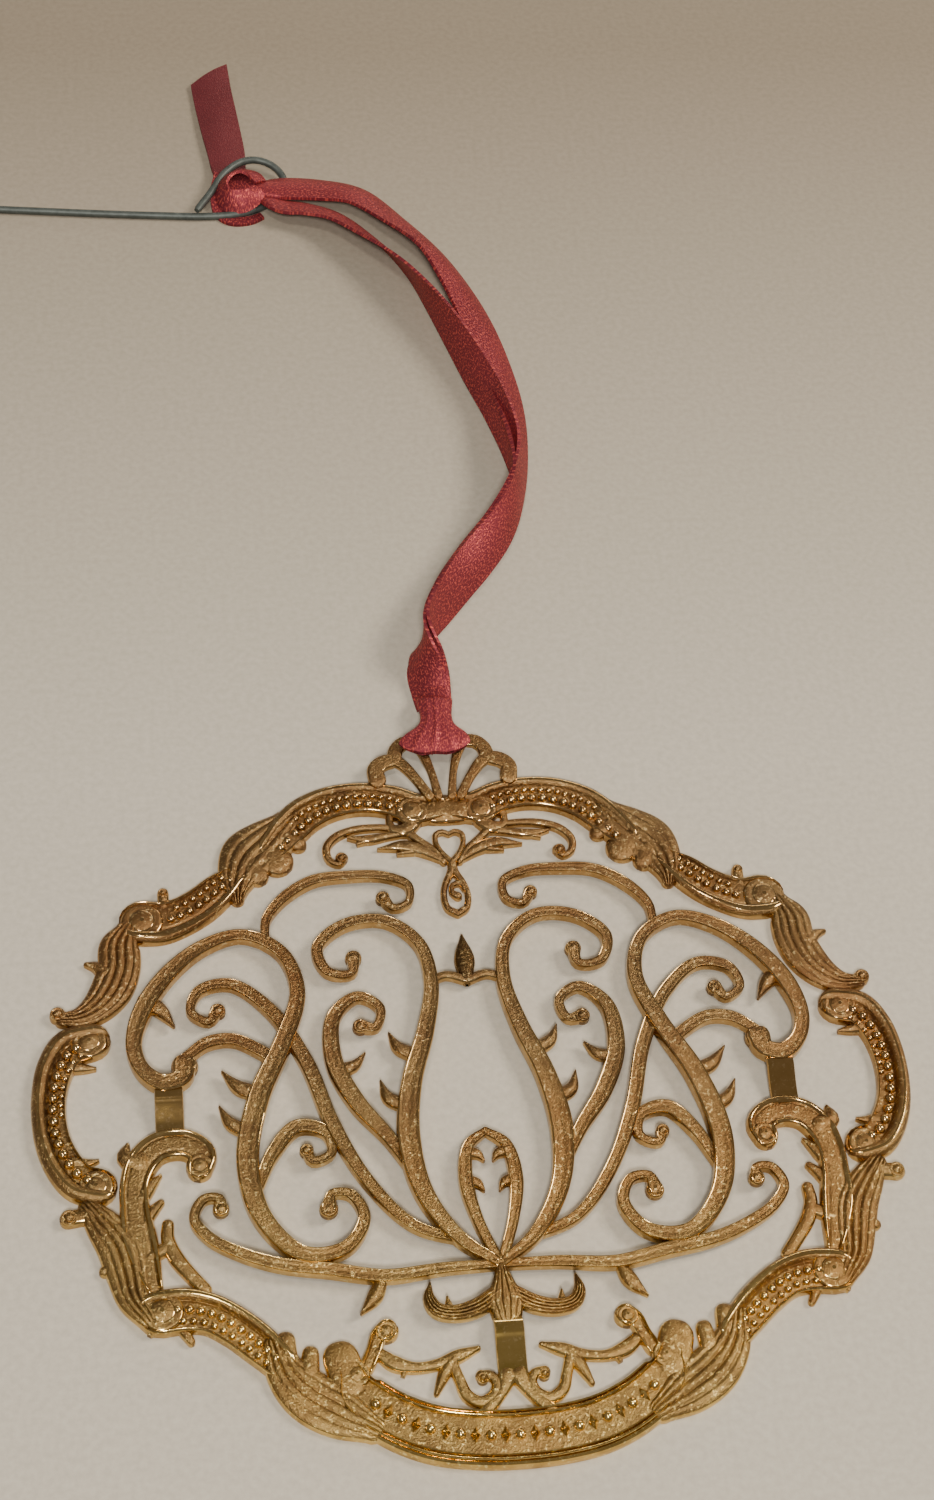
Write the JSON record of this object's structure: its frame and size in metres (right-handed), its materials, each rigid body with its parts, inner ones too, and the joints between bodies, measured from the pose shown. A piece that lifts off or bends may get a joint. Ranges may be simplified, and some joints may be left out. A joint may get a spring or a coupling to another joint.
{
  "type": "openwork hanging ornament",
  "caption": "Flat openwork metal ornament with a scrolled frame, an inner scroll panel on bridge tabs, a shell crest, a doubled satin ribbon and a wire hanging hook.",
  "frame": {"origin": "on the back of the frame, at the middle of the metal ornament's width and height", "axes": "+X to the ornament's right, +Y towards the shell crest, +Z out of its front"},
  "size_m": [0.1153, 0.1835, 0.0034],
  "materials": {
    "brass_relief": "antiqued gold-plated brass, frosted relief with polished edges",
    "brass_mirror": "mirror-polished gold-plated brass",
    "red_satin": "single-face satin ribbon",
    "hook_wire": "dull grey-green wire"
  },
  "bodies": {
    "ornament": {"frame_plate": "brass_relief", "scroll_panel": "brass_relief", "bridge_tab_left": "brass_mirror", "bridge_tab_right": "brass_mirror", "bridge_tab_bottom": "brass_mirror", "ribbon_hitch": "red_satin"},
    "ribbon": {"ribbon_strand_lower": "red_satin", "ribbon_strand_upper": "red_satin", "ribbon_knot": "red_satin", "ribbon_tail": "red_satin"},
    "hook": {"wire_hook": "hook_wire"}
  },
  "joints": [
    {"name": "ribbon_swing", "type": "hinge", "parent": "ornament", "child": "ribbon", "pos_m": [0, 0.04189, 0.0024], "axis": [1, 0, 0], "range_deg": [0, 140]},
    {"name": "hook_swing", "type": "hinge", "parent": "ribbon", "child": "hook", "pos_m": [-0.01185, 0.12149, 0.00045], "axis": [0.48, 0.8773, 0], "range_deg": [0, 90]}
  ]
}
